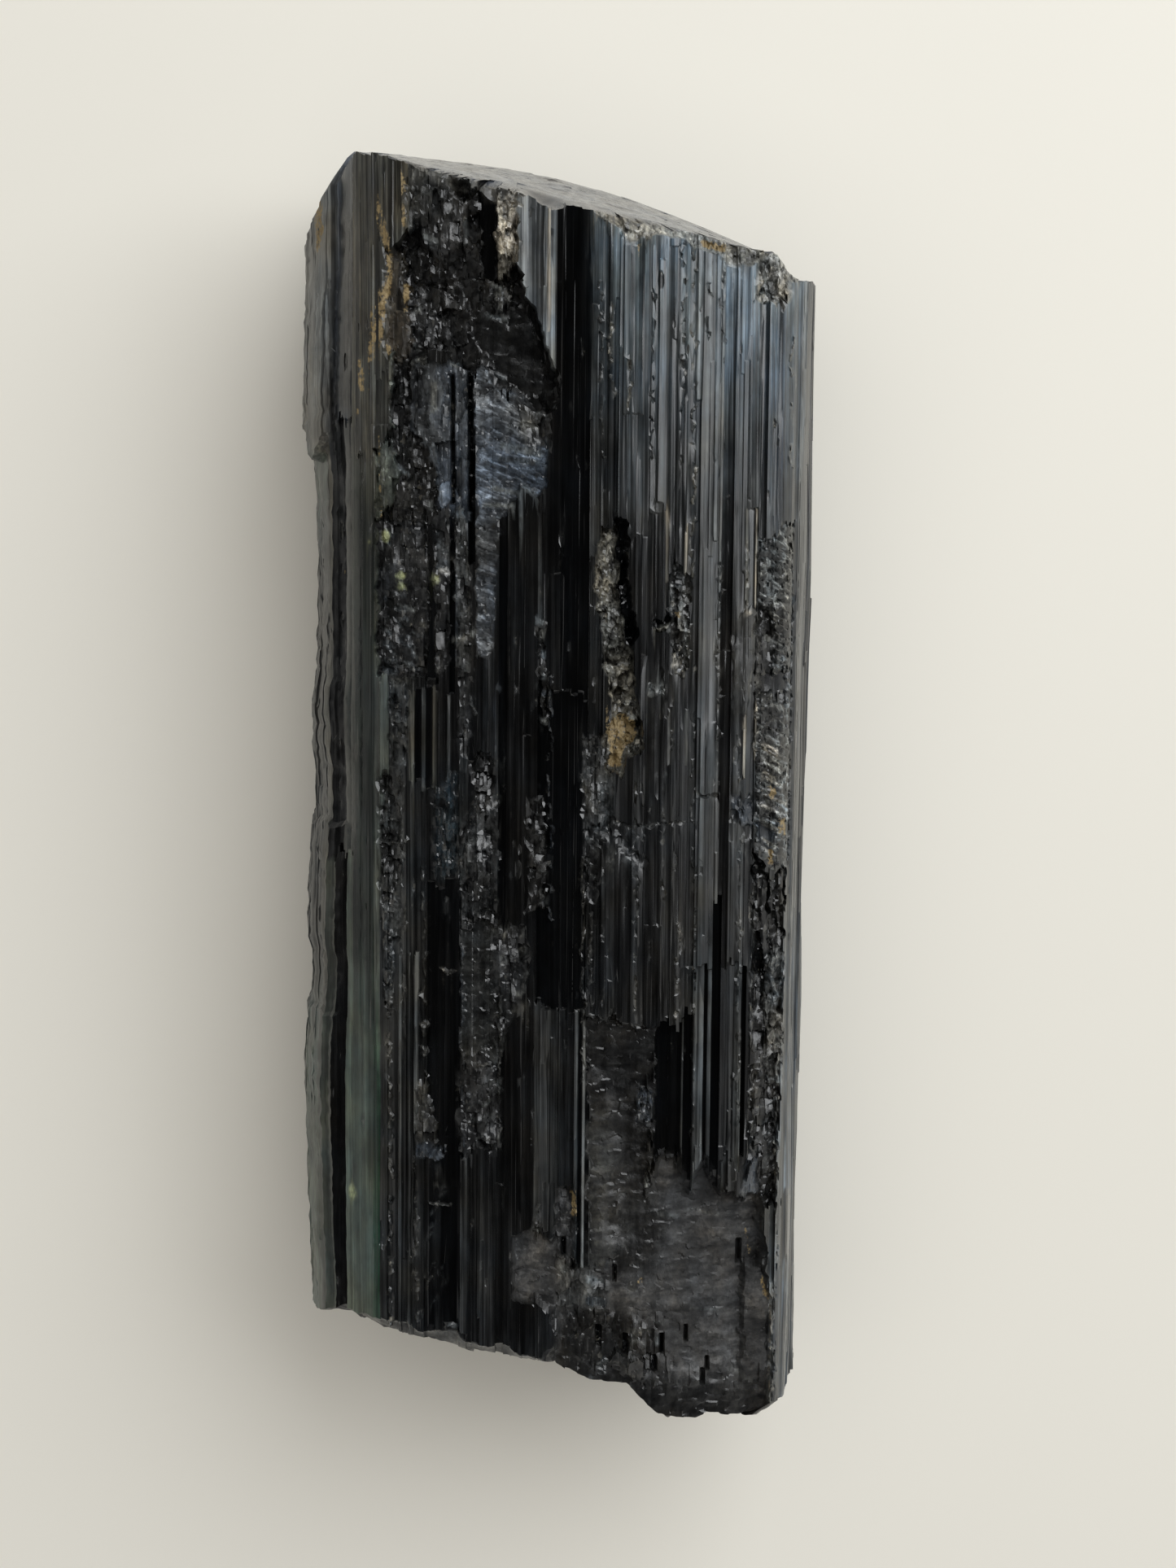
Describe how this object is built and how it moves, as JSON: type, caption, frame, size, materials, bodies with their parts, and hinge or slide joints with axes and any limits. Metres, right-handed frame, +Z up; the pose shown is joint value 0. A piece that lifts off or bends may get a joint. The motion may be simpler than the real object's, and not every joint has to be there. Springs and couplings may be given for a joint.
{
  "type": "black tourmaline crystal",
  "caption": "Natural black tourmaline (schorl) crystal: a thick, lengthwise-striated black prism, broken off at both ends, lying on one flat face.",
  "frame": {"origin": "middle of the bounding box, on the plane of the flat face the crystal lies on", "axes": "+Z up, +Y along the crystal towards its smooth oblique break, +X across it towards the fused thin crystal"},
  "size_m": [0.0464, 0.1132, 0.0307],
  "materials": {
    "tourmaline": "vitreous black, striated lengthwise; rough grey-black where it is broken, with brown iron stains"
  },
  "bodies": {
    "root": {"tourmaline_crystal": "tourmaline"}
  },
  "joints": []
}
